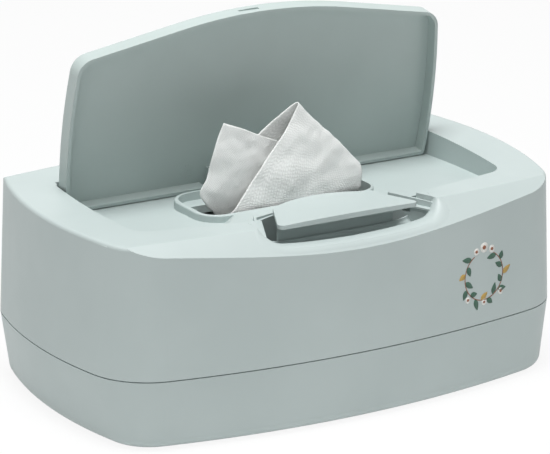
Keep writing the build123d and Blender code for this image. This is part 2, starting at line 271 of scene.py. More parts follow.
def shared(name: str, build: Callable[[], bpy.types.NodeTree]) -> bpy.types.NodeTree:
    """Node group of that name, built the first time it is asked for.

    Args:
        name: Name of the group.
        build: Function that builds it.

    Returns:
        The group.
    """
    return bpy.data.node_groups.get(name) or build()


def empty_material(name: str) -> tuple[bpy.types.Material, bpy.types.Node]:
    """Material with nothing but a Principled shader on its output.

    Args:
        name: Name of the material.

    Returns:
        The material and its shader node.
    """
    material = bpy.data.materials.new(name)
    material.use_nodes = True
    return material, material.node_tree.nodes["Principled BSDF"]


def bumped(tree: bpy.types.NodeTree, height: bpy.types.NodeSocket, shader: bpy.types.Node,
           strength: float, distance: float) -> None:
    """Feed a height into a shader's normal through a Bump node.

    Args:
        tree: Tree of the material.
        height: Socket that gives the height.
        shader: Shader that takes the normal.
        strength: Strength of the bump.
        distance: Height of the relief in metres.
    """
    bump = tree.nodes.new("ShaderNodeBump")
    bump.inputs["Strength"].default_value = strength
    bump.inputs["Distance"].default_value = distance
    tree.links.new(height, bump.inputs["Height"])
    tree.links.new(bump.outputs["Normal"], shader.inputs["Normal"])


@dataclass(frozen=True)
class MouldedFinish:
    """Moulded or drawn surface with a fine grain, in linear colours."""

    name: str
    base: Colour
    deep: Colour
    polish: tuple[float, float] = (0.42, 0.52)
    metallic: float = 0.0
    grain_scale: float = 2400.0
    relief: float = 0.00004
    strength: float = 0.25

    def material(self) -> bpy.types.Material:
        """Build the material, or give the one already built.

        Returns:
            The material.
        """
        found = bpy.data.materials.get(self.name)
        if found:
            return found
        material, shader = empty_material(self.name)
        tree = material.node_tree
        place = tree.nodes.new("ShaderNodeTexCoord")
        surface = tree.nodes.new("ShaderNodeGroup")
        surface.node_tree = shared("moulded surface", moulded_group)
        tree.links.new(place.outputs["Object"], surface.inputs["Vector"])
        surface.inputs["Base"].default_value = (*self.base, 1.0)
        surface.inputs["Deep"].default_value = (*self.deep, 1.0)
        surface.inputs["Grain Scale"].default_value = self.grain_scale
        surface.inputs["Polish Low"].default_value = self.polish[0]
        surface.inputs["Polish High"].default_value = self.polish[1]
        shader.inputs["Metallic"].default_value = self.metallic
        tree.links.new(surface.outputs["Color"], shader.inputs["Base Color"])
        tree.links.new(surface.outputs["Roughness"], shader.inputs["Roughness"])
        bumped(tree, surface.outputs["Height"], shader, self.strength, self.relief)
        return material


@dataclass(frozen=True)
class ClothFinish:
    """Embossed non-woven cloth, read on the piece's own UV map or on Object coordinates."""

    name: str
    base: Colour = (0.93, 0.945, 0.93)
    # The deep colour is painted shade in the low parts of the emboss.
    deep: Colour = (0.86, 0.88, 0.865)
    by_uv: bool = True
    size: tuple[float, float] = (0.15, 0.2)
    roughness: float = 0.85
    specular: float = 0.25
    sheen: float = 0.15
    relief: float = 0.00022
    strength: float = 0.55

    def material(self) -> bpy.types.Material:
        """Build the material, or give the one already built.

        Returns:
            The material.
        """
        found = bpy.data.materials.get(self.name)
        if found:
            return found
        material, shader = empty_material(self.name)
        tree = material.node_tree
        place = tree.nodes.new("ShaderNodeTexCoord")
        mapping = tree.nodes.new("ShaderNodeMapping")
        if self.by_uv:
            mapping.inputs["Scale"].default_value = (*self.size, 1.0)
        tree.links.new(place.outputs["UV" if self.by_uv else "Object"], mapping.inputs["Vector"])
        surface = tree.nodes.new("ShaderNodeGroup")
        surface.node_tree = shared("embossed cloth", embossed_group)
        surface.inputs["Base"].default_value = (*self.base, 1.0)
        surface.inputs["Deep"].default_value = (*self.deep, 1.0)
        tree.links.new(mapping.outputs["Vector"], surface.inputs["Vector"])
        tree.links.new(surface.outputs["Color"], shader.inputs["Base Color"])
        shader.inputs["Roughness"].default_value = self.roughness
        shader.inputs["Specular IOR Level"].default_value = self.specular
        shader.inputs["Sheen Weight"].default_value = self.sheen
        bumped(tree, surface.outputs["Height"], shader, self.strength, self.relief)
        return material


SAGE = MouldedFinish("sage plastic", (0.500, 0.571, 0.563), (0.478, 0.549, 0.541))
# A darker copy of the sage plastic for the lid and its marks: painted shade for the lid's inner face, which
# faces away from the top lamp.
SHADED_LID_SAGE = MouldedFinish("sage plastic of the lid with painted shade", (0.485, 0.560, 0.545), (0.462, 0.537, 0.522))
OILED_WIRE = MouldedFinish("oiled spring wire", (0.27, 0.28, 0.275), (0.22, 0.23, 0.225), (0.5, 0.65), 1.0,
                           5200.0, 0.00001)
GROUND_PIN = MouldedFinish("ground pin steel", (0.60, 0.60, 0.62), (0.54, 0.54, 0.56), (0.28, 0.4), 1.0,
                           3800.0, 0.00001)
FOOT_RUBBER = MouldedFinish("foot rubber", (0.115, 0.125, 0.12), (0.09, 0.10, 0.095), (0.7, 0.85), 0.0,
                            1500.0, 0.00008, 0.5)
PULLED_CLOTH = ClothFinish("pulled wipe cloth")
FOLDED_CLOTH = ClothFinish("folded wipe cloth", by_uv=False)


def dress(obj: bpy.types.Object, material: bpy.types.Material) -> None:
    """Give every material slot of an object one material.

    Args:
        obj: Object to dress.
        material: Its material.
    """
    if not obj.data.materials:
        obj.data.materials.append(material)
    for place in obj.material_slots:
        place.material = material


# Meshes


def finished(bm: bmesh.types.BMesh, name: str, body: Body,
             material: bpy.types.Material, smooth: bool = True) -> bpy.types.Object:
    """Turn a bmesh into a piece that rides on a body.

    Args:
        bm: Mesh under construction, with its place in its vertices. It is freed.
        name: Name of the piece.
        body: Body that it rides on.
        material: Its material.
        smooth: Whether its faces are shaded smooth.

    Returns:
        The new object.
    """
    mesh = bpy.data.meshes.new(name)
    bm.to_mesh(mesh)
    bm.free()
    if smooth:
        mesh.polygons.foreach_set("use_smooth", [True] * len(mesh.polygons))
    piece = bpy.data.objects.new(name, mesh)
    bpy.context.scene.collection.objects.link(piece)
    dress(piece, material)
    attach(piece, body.value)
    LOG.info("%s: %d faces", name, len(mesh.polygons))
    return piece


def through(points: list[Vector], share: float) -> Vector:
    """Point on a smooth curve through evenly numbered points.

    Args:
        points: Points that the curve passes through.
        share: How far along, from 0 to 1.

    Returns:
        The point there, by Catmull-Rom interpolation.
    """
    last = len(points) - 1
    step = min(int(share * last), last - 1)
    t = share * last - step
    a, b = points[step], points[step + 1]
    before = points[step - 1] if step else a * 2 - b
    after = points[step + 2] if step + 2 <= last else b * 2 - a
    return 0.5 * (2 * a + (b - before) * t + (2 * before - 5 * a + 4 * b - after) * t**2
                  + (3 * a - before - 3 * b + after) * t**3)


def lay_panel(bm: bmesh.types.BMesh, columns: list[list[Point]], across: int, along: int) -> None:
    """Add a grid to bm and lay it smoothly through columns of points.

    Args:
        bm: Mesh that gets the panel, with a UV layer.
        columns: Points in millimetres, as many in each column.
        across: Faces from the first column to the last.
        along: Faces along each column.
    """
    net = [[Vector(p) * MM for p in column] for column in columns]
    made = bmesh.ops.create_grid(bm, x_segments=across, y_segments=along, size=0.5, calc_uvs=True)["verts"]
    for vert in made:
        u, v = vert.co.x + 0.5, vert.co.y + 0.5
        vert.co = through([through(column, v) for column in net], u)


def thicken(piece: bpy.types.Object, thickness: float, offset: float = 0.0) -> None:
    """Give an open surface a thickness.

    Args:
        piece: Piece that gets it.
        thickness: Its thickness.
        offset: 0 for both sides of the surface alike, -1 for the inner side alone.
    """
    wall = piece.modifiers.new("thickness", "SOLIDIFY")
    wall.thickness = thickness
    wall.offset = offset


def box_matrix(low: Vector, high: Vector) -> Matrix:
    """Matrix that turns a unit cube into a box.

    Args:
        low: Lowest corner of the box.
        high: Highest corner of the box.

    Returns:
        The matrix.
    """
    return Matrix.Translation((low + high) / 2) @ Matrix.Diagonal((*(high - low), 1.0))


# Sub-assemblies


@dataclass
class MouldedShell:
    """The CAD pieces that keep their meshes: housing, lid, tab, hinge, springs and feet."""

    frame: dict[str, dict[str, bpy.types.Object]]

    def dress_nodes(self) -> None:
        """Give each rigid node its finish."""
        finishes = {
            "base_tray": SAGE, "upper_casing": SAGE, "flip_lid": SHADED_LID_SAGE, "press_tab": SAGE,
            "hinge_pin": GROUND_PIN, "lid_spring": OILED_WIRE, "tab_spring_left": OILED_WIRE,
            "tab_spring_right": OILED_WIRE, "foot_front_left": FOOT_RUBBER, "foot_front_right": FOOT_RUBBER,
            "foot_back_left": FOOT_RUBBER, "foot_back_right": FOOT_RUBBER,
        }
        for node, finish in finishes.items():
            dress(self.frame["nodes"][node], finish.material())
            LOG.info("%s: %s", node, finish.name)


@dataclass
class TopWipe:
    """Wipe in the slot: a doubled flap with a slanting fold, a corner beside it, the rest on the stack."""

    flat: tuple[float, float] = (0.19, 0.15)
    thickness: float = 0.00035
    wrinkle: float = 0.0008
    wrinkle_pitch: float = 0.012
    wrinkle_reach: float = 0.02
    fine_share: float = 0.4
    fine_times: float = 2.7
    stack_level: float = 0.0642
    pressed_share: float = 0.37

    def flap(self) -> list[list[Point]]:
        """Columns of the doubled flap in millimetres, up its front, over the fold and down its back.

        Returns:
            Four columns from its free left edge to its right side.
        """
        return [
            [(-90, -49, 64.4), (-60, -30, 64.6), (-36, -19, 67), (-36.5, -19, 84), (-32, -19.5, 89.5),
             (-21, -18.5, 103), (-8.5, -16.8, 116.5), (-1.5, -15.5, 124.5), (3, -14, 132.3),
             (-7, -10, 124.6), (-23, -9, 111), (-34, -7, 88), (-36, -4, 67), (-60, 10, 64.7),
             (-86, 30, 64.5), (-91, 49, 64.5)],
            [(-30, -49, 64.4), (-20, -30, 64.6), (-13, -21, 67), (-13, -21.5, 84), (-10, -22, 89.5),
             (-2, -20.7, 101), (5, -18.6, 111.5), (9.5, -16.6, 118), (13.6, -14.5, 121.6), (10, -11, 116.5),
             (2, -9, 104), (-8, -7, 88), (-12, -4, 67), (-22, 10, 64.7), (-30, 30, 64.5), (-30, 49, 64.5)],
            [(30, -49, 64.4), (20, -30, 64.6), (12, -20.5, 67), (11.5, -21, 84), (12.5, -21.3, 89),
             (16.5, -20, 97), (20, -18.5, 103), (22.5, -16.8, 107.5), (25.2, -14.5, 110.3),
             (23, -11.5, 106.5), (18, -9, 98), (14, -7, 88), (13, -4, 67), (24, 10, 64.7), (30, 30, 64.5),
             (30, 49, 64.5)],
            [(90, -49, 64.4), (60, -30, 64.6), (34, -19, 67), (34, -18, 84), (35.2, -18, 88),
             (36, -17.5, 92), (36.4, -16.5, 95), (36.5, -15.5, 97), (36.4, -14, 98.6), (36.2, -12, 97.5),
             (36, -10, 94), (35, -8, 87), (34, -4, 67), (60, 10, 64.7), (86, 30, 64.5), (91, 49, 64.5)],
        ]

    def corner(self) -> list[list[Point]]:
        """Columns of the pointed corner at the left in millimetres, from its outer edge inwards.

        Returns:
            Four columns, each from the stack upwards.
        """
        return [
            [(-34, -12, 66), (-39.5, -13.5, 84), (-44, -13.5, 89.5), (-47.3, -12.5, 96),
             (-43.5, -12.5, 103.2), (-41, -12.5, 112), (-37.5, -12, 120.8), (-34.4, -12, 127.3)],
            [(-24, -11.5, 66), (-28, -14.5, 84), (-31, -15, 90), (-32.5, -15.2, 97), (-30.5, -14.8, 104),
             (-28, -14, 111.5), (-26, -13, 118), (-24.5, -12, 123.2)],
            [(-10, -10, 66), (-14, -13, 84), (-16, -14, 90), (-17, -14.4, 96), (-16.5, -14, 102),
             (-15.5, -13.5, 108.5), (-15, -12.8, 114), (-14.8, -12, 118.6)],
            [(5, -9, 66), (4, -11, 84), (3, -12, 90), (2, -12.3, 96), (1, -12.3, 101), (0, -12.2, 105),
             (-1, -12, 109), (-2, -11.6, 113)],
        ]

    def crumple(self, bm: bmesh.types.BMesh) -> None:
        """Move the cloth a little off its smooth form, more where it stands up than where it lies.

        Args:
            bm: Mesh of the cloth.
        """
        bm.normal_update()
        for vert in bm.verts:
            spot = vert.co / self.wrinkle_pitch
            lift = min(1.0, max(0.0, (vert.co.z - self.stack_level) / self.wrinkle_reach))
            wave = noise.noise(spot) + self.fine_share * noise.noise(spot * self.fine_times)
            vert.co += vert.normal * (wave * self.wrinkle * lift)

    def build(self) -> bpy.types.Object:
        """Returns:
            The cloth.
        """
        bm = bmesh.new()
        bm.loops.layers.uv.new("UVMap")
        lay_panel(bm, self.flap(), 64, 120)
        lay_panel(bm, self.corner(), 36, 52)
        self.crumple(bm)
        cloth = finished(bm, "top_wipe_cloth", Body.CASING, PULLED_CLOTH.material())
        thicken(cloth, self.thickness)
        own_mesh(cloth)
        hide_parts("top_wipe")
        return cloth


@dataclass
class WipesStack:
    """Refill of folded wipes: a block of thin layers with softly uneven edges."""

    layer: float = 0.0015
    layers: int = 39
    corner: float = 0.009
    side_room: float = 0.001
    top_room: float = 0.0008
    top_wave: float = 0.00025
    top_pitch: float = 28.0
    side_pitch: float = 30.0
    fold_depth: float = 0.0004
    unevenness: float = 0.00012

    def build(self) -> bpy.types.Object:
        """Build the stack in the space of its CAD block.

        Returns:
            The stack.
        """
        low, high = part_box("wipes_stack")
        half = Vector(((high.x - low.x) / 2 - self.side_room, (high.y - low.y) / 2 - self.side_room))
        bm = bmesh.new()
        bmesh.ops.create_grid(bm, x_segments=60, y_segments=32, size=1.0)
        for vert in bm.verts:
            x, y = vert.co.x * half.x, vert.co.y * half.y
            over = Vector((max(0.0, abs(x) - half.x + self.corner), max(0.0, abs(y) - half.y + self.corner)))
            if over.length > self.corner:
                over *= self.corner / over.length
                x = math.copysign(half.x - self.corner + over.x, x)
                y = math.copysign(half.y - self.corner + over.y, y)
            wave = noise.noise(Vector((x, y, 0.0)) * self.top_pitch) * self.top_wave
            vert.co = Vector((x, y, high.z - self.top_room + wave))
        rim = [e for e in bm.edges if e.is_boundary]
        for level in range(self.layers * 2):
            made = bmesh.ops.extrude_edge_only(bm, edges=rim)["geom"]
            rim = [e for e in made if isinstance(e, bmesh.types.BMEdge)]
            drawn = -1.0 if level % 2 == 0 else 1.0
            for vert in {v for e in rim for v in e.verts}:
                vert.co.z -= self.layer / 2
                out = Vector((vert.co.x, vert.co.y, 0.0)).normalized()
                spot = Vector((vert.co.x * self.side_pitch, vert.co.y * self.side_pitch, level * 0.7))
                uneven = noise.noise(spot)
                vert.co += out * (drawn * self.fold_depth + uneven * self.unevenness)
        bmesh.ops.contextual_create(bm, geom=rim)
        bmesh.ops.recalc_face_normals(bm, faces=bm.faces)
        stack = finished(bm, "wipes_stack_folded", Body.TRAY, FOLDED_CLOTH.material())
        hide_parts("wipes_stack")
        return stack


@dataclass
class LidMarks:
    """Marks moulded inside the lid: a refill-month dial and the rings that ejector pins leave."""

    seat_y: float = 0.0312
    seat_z: float = 0.0880
    opened: float = 80.0
    panel: float = 0.0020
    relief: float = 0.00016
    line: float = 0.00028
    dial: tuple[float, float] = (-0.0318, 0.0061)
    ticks: int = 14
    tick_length: float = 0.0013
    tick_radius: float = 0.0031
    arrow_length: float = 0.0030
    arrow_lean: float = 52.0
    head_length: float = 0.0010
    head_spread: float = 35.0
    rings: Pairs = ((-0.0072, 0.0410), (0.0773, 0.0664), (0.0827, 0.0063), (-0.0606, 0.0063))
    ring_radius: float = 0.0042
    ring_line: float = 0.00022

    def onto_lid(self, x: float, up: float) -> Matrix:
        """Placement on the lid's inner face.

        Args:
            x: Place along the hinge.
            up: Distance from the lid's rear edge line.

        Returns:
            A matrix whose Z points out of the inner face.
        """
        turn = Matrix.Rotation(math.radians(-self.opened), 4, "X")
        flip = Matrix.Rotation(math.pi, 4, "Y")
        return (Matrix.Translation((0, self.seat_y, self.seat_z)) @ turn
                @ Matrix.Translation((x, -up, -self.panel)) @ flip)

    def build_dial(self) -> bpy.types.Object:
        """Build the dial: a ring of ticks round an arrow.

        Returns:
            The dial.
        """
        bm = bmesh.new()
        place = self.onto_lid(*self.dial)
        outwards = Matrix.Translation((self.tick_radius, 0, 0))
        bars = [(Matrix.Rotation(math.tau * k / self.ticks, 4, "Z") @ outwards, self.tick_length)
                for k in range(self.ticks)]
        lean = Matrix.Rotation(math.radians(self.arrow_lean), 4, "Z")
        bars.append((lean, self.arrow_length))
        for side in (-1, 1):
            bars.append((lean @ Matrix.Translation((0.4 * self.arrow_length, side * self.line, 0))
                         @ Matrix.Rotation(-side * math.radians(self.head_spread), 4, "Z"), self.head_length))
        for where, length in bars:
            size = Matrix.Diagonal((length, self.line, 2 * self.relief, 1.0))
            bmesh.ops.create_cube(bm, size=1.0, matrix=place @ where @ size)
        bmesh.ops.bevel(bm, geom=list(bm.edges), offset=0.00005, affect="EDGES", segments=2, profile=0.5,
                        material=-1)
        return finished(bm, "lid_month_dial", Body.LID, SHADED_LID_SAGE.material(), smooth=False)

    def build_ring(self, number: int) -> bpy.types.Object:
        """Build one witness ring of an ejector pin.

        Args:
            number: Which of the rings.

        Returns:
            The ring.
        """
        bm = bmesh.new()
        lift = self.relief * 0.5
        ridge = [bm.verts.new((self.ring_radius + a * self.ring_line, 0, b * lift))
                 for a, b in ((-1, -1), (0, 1), (1, -1))]
        profile = [bm.edges.new((ridge[i], ridge[i + 1])) for i in range(2)]
        bmesh.ops.spin(bm, geom=[*ridge, *profile], cent=(0, 0, 0), axis=(0, 0, 1), angle=math.tau, steps=48,
                       use_merge=True, use_duplicate=False)
        bmesh.ops.recalc_face_normals(bm, faces=bm.faces)
        bmesh.ops.transform(bm, matrix=self.onto_lid(*self.rings[number]), verts=bm.verts)
        return finished(bm, f"lid_pin_ring_{number + 1}", Body.LID, SHADED_LID_SAGE.material())

    def build(self) -> None:
        """Build the dial and every ring."""
        self.build_dial()
        for number in range(len(self.rings)):
            self.build_ring(number)


@dataclass
class ScoopTrim:
    """Trim of the finger scoop in millimetres: its rolled lip, its bowl, the tab's skirt and the notch sides.

    The lip's outer and inner lines are (x, z) pairs of its right half, from the middle outwards. Its rings
    are (share of the way from the outer line to the inner, distance behind the facet) pairs. The bowl's
    profile is (y, z) pairs from the front to the back, and the notch is (x, y) pairs of its right side.
    """

    outer: Pairs = ((0, 82.0), (20, 82.4), (37, 83.5), (44.2, 84.9), (48.4, 87.0), (50.5, 89.6), (50.0, 92.0),
                    (49.0, 95.0))
    inner: Pairs = ((0, 84.7), (20, 85.2), (36, 86.3), (41.5, 88.0), (44.4, 90.2), (45.8, 92.0), (46.2, 93.4),
                    (46.3, 95.0))
    rings: Pairs = ((0.0, 0.10), (0.30, -0.12), (0.62, -0.10), (0.86, 0.45), (0.98, 1.6), (1.0, 3.2),
                    (0.96, 5.5), (0.80, 8.0))
    lip_skin: float = 0.4
    facet_top: tuple[float, float] = (65.8, 93.6)
    facet_foot: tuple[float, float] = (79.0, 81.5)
    facet_bow: float = 1010.0
    top: float = 95.4
    top_tilt: float = 1.55
    notch: Pairs = ((49.2, -70.0), (36.0, -41.6))
    wall: tuple[float, float] = (-1.0, 0.25)
    wall_start: float = 6.5
    wall_foot: float = 84.9
    shelf: tuple[float, float] = (-4.2, 0.1)
    ledge: tuple[float, float] = (87.9, 88.75)
    lid_room: float = 2.35
    bowl: Pairs = ((-72.5, 84.2), (-70.0, 81.6), (-66.0, 79.0), (-61.0, 77.6), (-57.0, 78.2), (-54.6, 80.2),
                   (-54.1, 82.0))
    bowl_widest: tuple[float, float] = (43.8, -66.0)
    bowl_taper: float = 0.469
    bowl_rise: float = 1.8
    bowl_skin: float = 0.5
    skirt: tuple[Point, Point] = ((-30.5, -53.2, 80.3), (30.5, -52.5, 91.7))
    skirt_round: float = 0.3

    def top_normal(self) -> Vector:
        """Normal of the casing's slightly tilted top.

        Returns:
            The unit normal.
        """
        tilt = math.radians(self.top_tilt)
        return Vector((0, -math.sin(tilt), math.cos(tilt)))

    def facet_y(self, x: float, z: float) -> float:
        """Y of the sloping facet, worked out where the scoop has cut it away.

        Args:
            x: Place along the box in millimetres.
            z: Height in millimetres.

        Returns:
            The Y of the facet there in millimetres.
        """
        (reach, high), (foot_reach, low) = self.facet_top, self.facet_foot
        share = (high - z) / (high - low)
        return -(reach + (foot_reach - reach) * share) + x * x / (2 * self.facet_bow) * (1 - 2 * share)

    def side(self, rows: Pairs, t: float) -> tuple[float, float]:
        """Point on the outer or inner line of the lip.

        Args:
            rows: The line's points at the right, from the middle outwards.
            t: From -1 at the left end to 1 at the right end.

        Returns:
            Its x and z in millimetres.
        """
        spot = through([Vector((x, 0, z)) for x, z in rows], abs(t))
        return math.copysign(spot.x, t), spot.z

    def build_lip(self) -> bpy.types.Object:
        """Build the rolled lip from the facet over into the well.

        Returns:
            The lip.
        """
        bm = bmesh.new()
        made = bmesh.ops.create_grid(bm, x_segments=120, y_segments=28, size=1.0)["verts"]
        rolls = [Vector((share, depth, 0)) for share, depth in self.rings]
        for vert in made:
            outer, inner = self.side(self.outer, vert.co.x), self.side(self.inner, vert.co.x)
            roll = through(rolls, (vert.co.y + 1) / 2)
            x = outer[0] + (inner[0] - outer[0]) * roll.x
            z = outer[1] + (inner[1] - outer[1]) * roll.x
            vert.co = Vector((x, self.facet_y(x, z) + roll.y, z)) * MM
        bmesh.ops.bisect_plane(bm, geom=[*bm.verts, *bm.edges, *bm.faces], plane_co=(0, 0, self.top * MM),
                               plane_no=self.top_normal(), clear_outer=True)
        bmesh.ops.recalc_face_normals(bm, faces=bm.faces)
        lip = finished(bm, "scoop_lip", Body.CASING, SAGE.material())
        thicken(lip, self.lip_skin * MM, -1.0)
        return lip

    def build_notch_side(self, side: int) -> bpy.types.Object:
        """Build one side wall of the notch with the ledge at its foot.

        Args:
            side: -1 for the left side, 1 for the right.

        Returns:
            The wall with its ledge.
        """
        bm = bmesh.new()
        front, back = (Vector((*corner, 0)) for corner in self.notch)
        run = back - front
        slant = Matrix(((1, run.x / run.y, 0, 0), (0, 1, 0, 0), (0, 0, 1, 0), (0, 0, 0, 1)))
        for (x0, x1), y0, (z0, z1) in ((self.wall, self.wall_start, (self.wall_foot, self.top)),
                                       (self.shelf, 0.0, self.ledge)):
            block = box_matrix(Vector((x0, y0, z0)), Vector((x1, run.y, z1)))
            bmesh.ops.create_cube(bm, size=1.0, matrix=slant @ block)
        bmesh.ops.transform(bm, matrix=Matrix.Translation(front), verts=bm.verts)
        cut = bmesh.ops.bisect_plane(bm, geom=[*bm.verts, *bm.edges, *bm.faces],
                                     plane_co=(0, 0, self.top - self.lid_room), plane_no=self.top_normal(),
                                     clear_outer=True)
        rim = [e for e in cut["geom_cut"] if isinstance(e, bmesh.types.BMEdge)]
        bmesh.ops.contextual_create(bm, geom=rim)
        bmesh.ops.transform(bm, matrix=Matrix.Diagonal((side * MM, MM, MM, 1.0)), verts=bm.verts)
        bmesh.ops.recalc_face_normals(bm, faces=bm.faces)
        name = "notch_side_left" if side < 0 else "notch_side_right"
        return finished(bm, name, Body.CASING, SAGE.material(), smooth=False)

    def build_bowl(self) -> bpy.types.Object:
        """Build the bowl, from the lip down and up again in front of the tab's springs.

        Returns:
            The bowl.
        """
        bm = bmesh.new()
        made = bmesh.ops.create_grid(bm, x_segments=40, y_segments=24, size=1.0)["verts"]
        profile = [Vector((0, y, z)) for y, z in self.bowl]
        widest, widest_y = self.bowl_widest
        for vert in made:
            spot = through(profile, (vert.co.y + 1) / 2)
            half = widest + (widest_y - spot.y) * self.bowl_taper
            rise = self.bowl_rise * vert.co.x**6
            vert.co = Vector((vert.co.x * half, spot.y, spot.z + rise)) * MM
        bmesh.ops.recalc_face_normals(bm, faces=bm.faces)
        bowl = finished(bm, "scoop_bowl", Body.CASING, SAGE.material())
        thicken(bowl, self.bowl_skin * MM)
        return bowl

    def build_skirt(self) -> bpy.types.Object:
        """Build the skirt that hangs from the underside of the tab in front of its springs.

        Returns:
            The skirt.
        """
        bm = bmesh.new()
        low, high = (Vector(corner) * MM for corner in self.skirt)
        bmesh.ops.create_cube(bm, size=1.0, matrix=box_matrix(low, high))
        uprights = [e for e in bm.edges if abs(e.verts[0].co.z - e.verts[1].co.z) > (high.z - low.z) / 2]
        bmesh.ops.bevel(bm, geom=uprights, offset=self.skirt_round * MM, affect="EDGES", segments=2,
                        profile=0.5, material=-1)
        return finished(bm, "tab_skirt", Body.TAB, SAGE.material(), smooth=False)

    def build(self) -> None:
        """Build the lip, the bowl, the skirt and both sides of the notch."""
        self.build_lip()
        self.build_bowl()
        self.build_skirt()
        for side in (-1, 1):
            self.build_notch_side(side)


@dataclass
class PrintedWreath:
    """Wreath of leaves and berries printed on the right of the front wall."""

    casing: bpy.types.Object
    centre: tuple[float, float] = (0.0665, 0.0560)
    radius: float = 0.0115
    film: float = 0.00006
    dashes: int = 40
    dash: tuple[float, float] = (0.0021, 0.00042)
    dash_arc: tuple[float, float] = (-235, 290)
    leaves: int = 16
    leaf_arc: tuple[float, float] = (-230, 280)
    leaf_step: float = 0.0008
    leaf: tuple[float, float] = (0.0058, 0.0025)
    leaf_lean: float = 0.85
    berries: tuple[Point, ...] = ((0.0, 0.0135, 0.0024), (-0.0046, 0.0122, 0.0017), (0.0047, 0.0120, 0.0018),
                                  (-0.0098, -0.0098, 0.0015), (0.0102, -0.0094, 0.0016),
                                  (0.0, -0.0126, 0.0015))
    heart: float = 0.42

    def __post_init__(self) -> None:
        """Read the casing once, to lay the print on its surface."""
        self.wall = BVHTree.FromObject(self.casing, bpy.context.evaluated_depsgraph_get())

    def onto_wall(self, bm: bmesh.types.BMesh, lift: float) -> None:
        """Move a flat print from the X-Y plane onto the front wall.

        Args:
            bm: Mesh drawn flat round the origin.
            lift: Distance kept from the wall.
        """
        for vert in bm.verts:
            start = Vector((self.centre[0] + vert.co.x, -0.12, self.centre[1] + vert.co.y))
            hit, normal, _, _ = self.wall.ray_cast(start, Vector((0, 1, 0)))
            vert.co = hit + normal * lift

    def add_disc(self, bm: bmesh.types.BMesh, x: float, y: float, radius: float) -> None:
        """Add a round dot.

        Args:
            bm: Mesh that gets it.
            x: Place across.
            y: Place up.
            radius: Its radius.
        """
        bmesh.ops.create_circle(bm, cap_ends=True, cap_tris=True, segments=24, radius=radius,
                                matrix=Matrix.Translation((x, y, 0)))

    def add_leaf(self, bm: bmesh.types.BMesh, x: float, y: float, turn: float, length: float,
                 width: float) -> None:
        """Add a pointed leaf.

        Args:
            bm: Mesh that gets it.
            x: Place across of its stalk end.
            y: Place up of its stalk end.
            turn: Direction that it points in, in radians.
            length: Its length.
            width: Its width.
        """
        made = bmesh.ops.create_circle(bm, cap_ends=True, cap_tris=True, segments=28, radius=1.0)["verts"]
        for vert in made:
            s = vert.co.x
            half = width / 2 * (1 - s * s) ** 0.35 * (1.05 - 0.35 * s)
            vert.co = Vector((length * (s + 1) / 2, vert.co.y * half, 0))
        place = Matrix.Translation((x, y, 0)) @ Matrix.Rotation(turn, 4, "Z")
        bmesh.ops.transform(bm, matrix=place, verts=made)

    def finish_ink(self, bm: bmesh.types.BMesh, name: str, ink: Ink, film: float) -> bpy.types.Object:
        """Lay a drawn shape on the wall in one ink.

        Args:
            bm: Mesh drawn flat.
            name: Name of the piece.
            ink: Its colour.
            film: Height of the ink's middle over the wall.

        Returns:
            The printed piece.
        """
        self.onto_wall(bm, film)
        bmesh.ops.recalc_face_normals(bm, faces=bm.faces)
        deep = tuple(c * 0.86 for c in ink.value)
        finish = MouldedFinish(f"{ink.name.lower()} ink", ink.value, deep, (0.48, 0.62), 0.0, 3000.0, 0.00002)
        piece = finished(bm, name, Body.CASING, finish.material())
        thicken(piece, film * 0.8)
        return piece

    def build(self) -> None:
        """Build the leaves, the berries and the stem ring."""
        stem, greens, golds, berries, hearts = (bmesh.new() for _ in range(5))
        for k in range(self.dashes):
            a = math.radians(self.dash_arc[0] + self.dash_arc[1] * k / (self.dashes - 1))
            size = Matrix.Diagonal((*self.dash, 1.0, 1.0))
            middle = Matrix.Translation((self.radius * math.cos(a), self.radius * math.sin(a), 0))
            bmesh.ops.create_grid(stem, x_segments=1, y_segments=1, size=0.5,
                                  matrix=middle @ Matrix.Rotation(a + math.pi / 2, 4, "Z") @ size)
        length, width = self.leaf
        for k in range(self.leaves):
            a = math.radians(self.leaf_arc[0] + self.leaf_arc[1] * k / (self.leaves - 1))
            side = 1 if k % 2 else -1
            turn = a + math.pi / 2 + side * self.leaf_lean
            self.add_leaf(golds if k % 5 == 2 else greens, self.radius * math.cos(a),
                          self.radius * math.sin(a), turn, length - self.leaf_step * (k % 3), width)
        for x, y, r in self.berries:
            self.add_disc(berries, x, y, r)
            self.add_disc(hearts, x, y, r * self.heart)
        for bm, name, ink, coats in ((stem, "print_stem", Ink.RUST, 1.0),
                                     (greens, "print_leaves_green", Ink.GREEN, 1.0),
                                     (golds, "print_leaves_mustard", Ink.MUSTARD, 1.0),
                                     (berries, "print_berries", Ink.CREAM, 1.0),
                                     (hearts, "print_berry_hearts", Ink.RUST, 2.2)):
            self.finish_ink(bm, name, ink, coats * self.film)


@dataclass(frozen=True)
class Lamp:
    """Soft square area lamp: where it hangs, what it points at, its side and its power in watts."""

    name: str
    place: Point
    aim: Point
    size: float
    power: float

    def build(self) -> None:
        """Make the lamp."""
        data = bpy.data.lights.new(self.name, "AREA")
        data.size, data.energy = self.size, self.power
        lamp = bpy.data.objects.new(self.name, data)
        lamp.location = self.place
        lamp.rotation_mode = "QUATERNION"
        lamp.rotation_quaternion = (Vector(self.aim) - Vector(self.place)).to_track_quat("-Z", "Y")
        bpy.context.scene.collection.objects.link(lamp)


